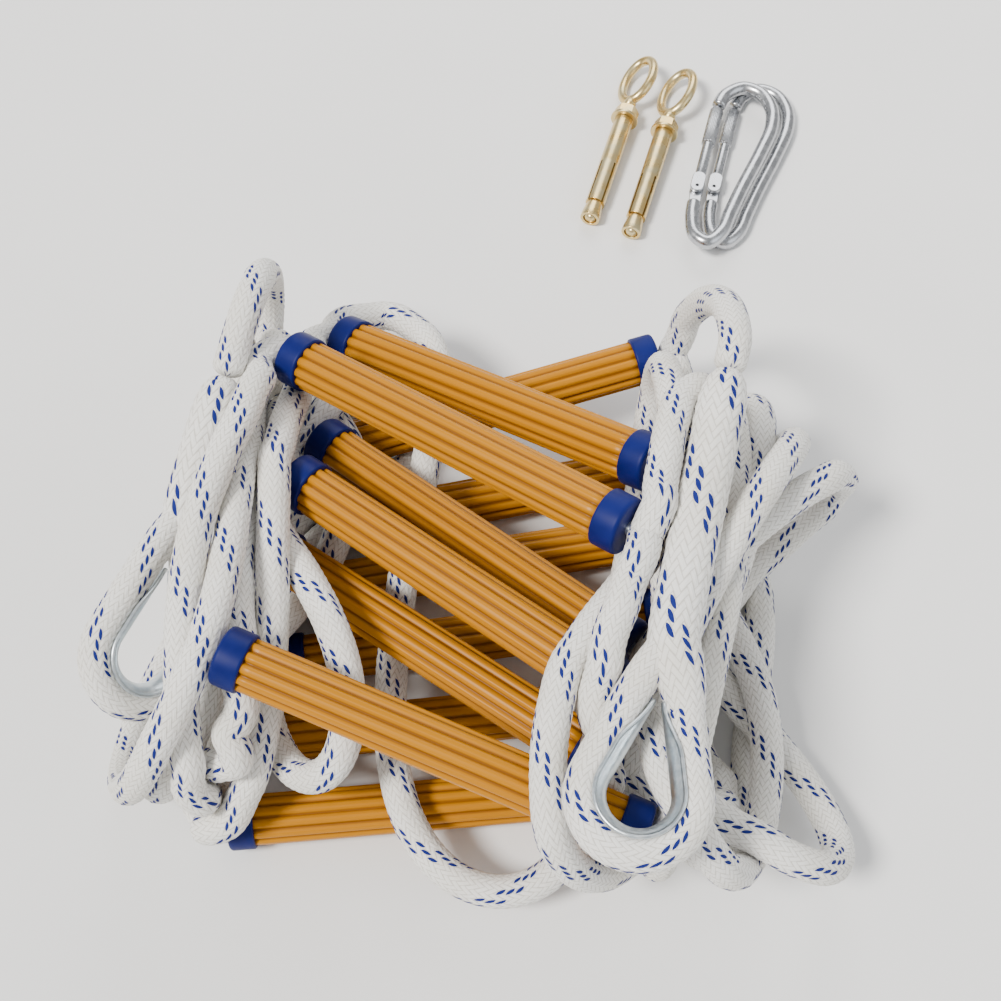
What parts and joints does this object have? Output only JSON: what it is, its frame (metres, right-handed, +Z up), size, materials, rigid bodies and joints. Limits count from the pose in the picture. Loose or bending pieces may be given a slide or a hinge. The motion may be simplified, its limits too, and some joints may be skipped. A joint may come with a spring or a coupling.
{
  "type": "escape rope ladder",
  "caption": "Rope ladder with ribbed rungs capped at both ends, spliced thimble eyes at its head, folded into a hank, with expansion eye bolts and snap hooks to hang it from.",
  "frame": {"origin": "on the floor, under the middle of everything but the two side ropes", "axes": "+Z up, +Y away from the viewer along the strands of the hank towards the bolts and hooks, +X to the viewer's right roughly along the rungs"},
  "size_m": [0.4775, 0.7206, 0.1947],
  "materials": {
    "rung_yellow": "satin, lengthwise ribs",
    "collar_blue": "smooth",
    "rope": "white braid with blue tracers",
    "galvanised_steel": "galvanised",
    "gold_zinc_steel": "yellow zinc plated",
    "hook_steel": "bright zinc plated"
  },
  "bodies": {
    "ladder": {"rung_01": "rung_yellow", "collar_01_left": "collar_blue", "collar_01_right": "collar_blue", "rung_02": "rung_yellow", "collar_02_left": "collar_blue", "collar_02_right": "collar_blue", "rung_03": "rung_yellow", "collar_03_left": "collar_blue", "collar_03_right": "collar_blue", "rung_04": "rung_yellow", "collar_04_left": "collar_blue", "collar_04_right": "collar_blue", "rung_05": "rung_yellow", "collar_05_left": "collar_blue", "collar_05_right": "collar_blue", "rung_06": "rung_yellow", "collar_06_left": "collar_blue", "collar_06_right": "collar_blue", "rung_07": "rung_yellow", "collar_07_left": "collar_blue", "collar_07_right": "collar_blue", "rung_08": "rung_yellow", "collar_08_left": "collar_blue", "collar_08_right": "collar_blue", "rung_09": "rung_yellow", "collar_09_left": "collar_blue", "collar_09_right": "collar_blue", "rung_10": "rung_yellow", "collar_10_left": "collar_blue", "collar_10_right": "collar_blue", "rung_11": "rung_yellow", "collar_11_left": "collar_blue", "collar_11_right": "collar_blue", "rung_12": "rung_yellow", "collar_12_left": "collar_blue", "collar_12_right": "collar_blue", "rope_left": "rope", "rope_right": "rope"},
    "upper_eye_left": {"eye_left": "rope", "thimble_left": "galvanised_steel"},
    "upper_eye_right": {"eye_right": "rope", "thimble_right": "galvanised_steel"},
    "bolt_1": {"bolt_1_eye": "gold_zinc_steel", "bolt_1_sleeve": "gold_zinc_steel", "bolt_1_cone": "gold_zinc_steel"},
    "bolt_1_washer": {"bolt_1_washer": "gold_zinc_steel"},
    "bolt_1_nut": {"bolt_1_nut": "gold_zinc_steel"},
    "bolt_2": {"bolt_2_eye": "gold_zinc_steel", "bolt_2_sleeve": "gold_zinc_steel", "bolt_2_cone": "gold_zinc_steel"},
    "bolt_2_washer": {"bolt_2_washer": "gold_zinc_steel"},
    "bolt_2_nut": {"bolt_2_nut": "gold_zinc_steel"},
    "hook_2": {"hook_2_body": "hook_steel", "hook_2_rivet": "hook_steel"},
    "hook_2_gate": {"hook_2_gate": "hook_steel"},
    "hook_1": {"hook_1_body": "hook_steel", "hook_1_rivet": "hook_steel"},
    "hook_1_gate": {"hook_1_gate": "hook_steel"}
  },
  "joints": [
    {"name": "eye_left_lift", "type": "hinge", "parent": "ladder", "child": "upper_eye_left", "pos_m": [-0.1644, -0.0534, 0.152], "axis": [-0.7996, 0.3649, -0.477], "range_deg": [0, 60]},
    {"name": "eye_right_lift", "type": "hinge", "parent": "ladder", "child": "upper_eye_right", "pos_m": [0.1346, -0.0694, 0.181], "axis": [-0.8852, 0.1962, 0.4219], "range_deg": [0, 60]},
    {"name": "bolt_1_lift_off", "type": "slide", "parent": "ladder", "child": "bolt_1", "axis": [0, 0, 1], "range_m": [0, 0.1]},
    {"name": "bolt_1_nut_travel", "type": "slide", "parent": "bolt_1", "child": "bolt_1_washer", "axis": [-0.2922, -0.9558, -0.033], "range_m": [-0.003, 0]},
    {"name": "bolt_1_nut_turn", "type": "hinge", "parent": "bolt_1_washer", "child": "bolt_1_nut", "pos_m": [0.10366, 0.3031, 0.01138], "axis": [-0.2922, -0.9558, -0.033], "range_deg": [-722, 0]},
    {"name": "bolt_2_lift_off", "type": "slide", "parent": "ladder", "child": "bolt_2", "axis": [0, 0, 1], "range_m": [0, 0.1]},
    {"name": "bolt_2_nut_travel", "type": "slide", "parent": "bolt_2", "child": "bolt_2_washer", "axis": [-0.2922, -0.9558, -0.033], "range_m": [-0.003, 0]},
    {"name": "bolt_2_nut_turn", "type": "hinge", "parent": "bolt_2_washer", "child": "bolt_2_nut", "pos_m": [0.13467, 0.2891, 0.01138], "axis": [-0.2922, -0.9558, -0.033], "range_deg": [-722, 0]},
    {"name": "hook_2_lift_off", "type": "slide", "parent": "ladder", "child": "hook_2", "axis": [0, 0, 1], "range_m": [0, 0.1]},
    {"name": "hook_2_gate_opening", "type": "hinge", "parent": "hook_2", "child": "hook_2_gate", "pos_m": [0.16782, 0.2242, 0.0055], "axis": [0, 0, -1], "range_deg": [0, 20], "stiffness_Nm_per_rad": 0.1, "springref_deg": -11.46},
    {"name": "hook_1_lift_off", "type": "slide", "parent": "hook_2", "child": "hook_1", "axis": [0, 0, 1], "range_m": [0, 0.1]},
    {"name": "hook_1_gate_opening", "type": "hinge", "parent": "hook_1", "child": "hook_1_gate", "pos_m": [0.15282, 0.2152, 0.0168], "axis": [0, 0, -1], "range_deg": [0, 20], "stiffness_Nm_per_rad": 0.1, "springref_deg": -11.46}
  ],
  "couplings": [
    {"joint": "bolt_1_nut_turn", "follows": "bolt_1_nut_travel", "rad_per_m": 4188.8},
    {"joint": "bolt_2_nut_turn", "follows": "bolt_2_nut_travel", "rad_per_m": 4188.8}
  ]
}
